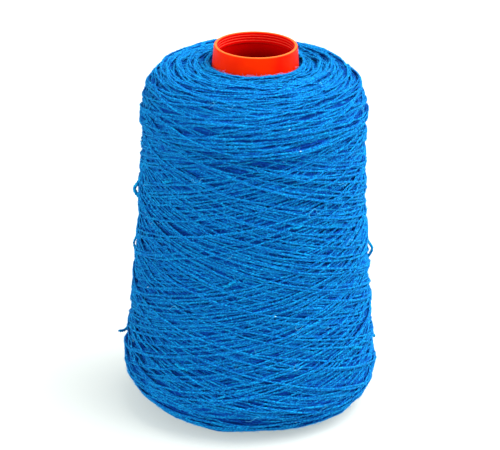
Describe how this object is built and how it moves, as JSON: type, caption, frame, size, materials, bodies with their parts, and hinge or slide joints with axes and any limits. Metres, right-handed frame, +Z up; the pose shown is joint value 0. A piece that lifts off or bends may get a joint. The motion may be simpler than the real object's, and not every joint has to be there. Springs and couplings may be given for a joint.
{
  "type": "yarn cone",
  "caption": "Cone of woollen knitting yarn, cross-wound on a moulded tapered plastic tube with an open grooved nose.",
  "frame": {"origin": "centre of the tube's base rim, on the surface that the cone stands on", "axes": "+Z up along the cone's axis towards the nose; -Y faces the viewer, and the loose end's tip points to -X"},
  "size_m": [0.1191, 0.1158, 0.17],
  "materials": {
    "tube_plastic": "satin moulded polypropylene, orange-red",
    "woollen_yarn": "woollen-spun two-ply yarn, azure blue"
  },
  "bodies": {
    "root": {"cone_tube": "tube_plastic", "yarn_package": "woollen_yarn", "running_end": "woollen_yarn"}
  },
  "joints": []
}
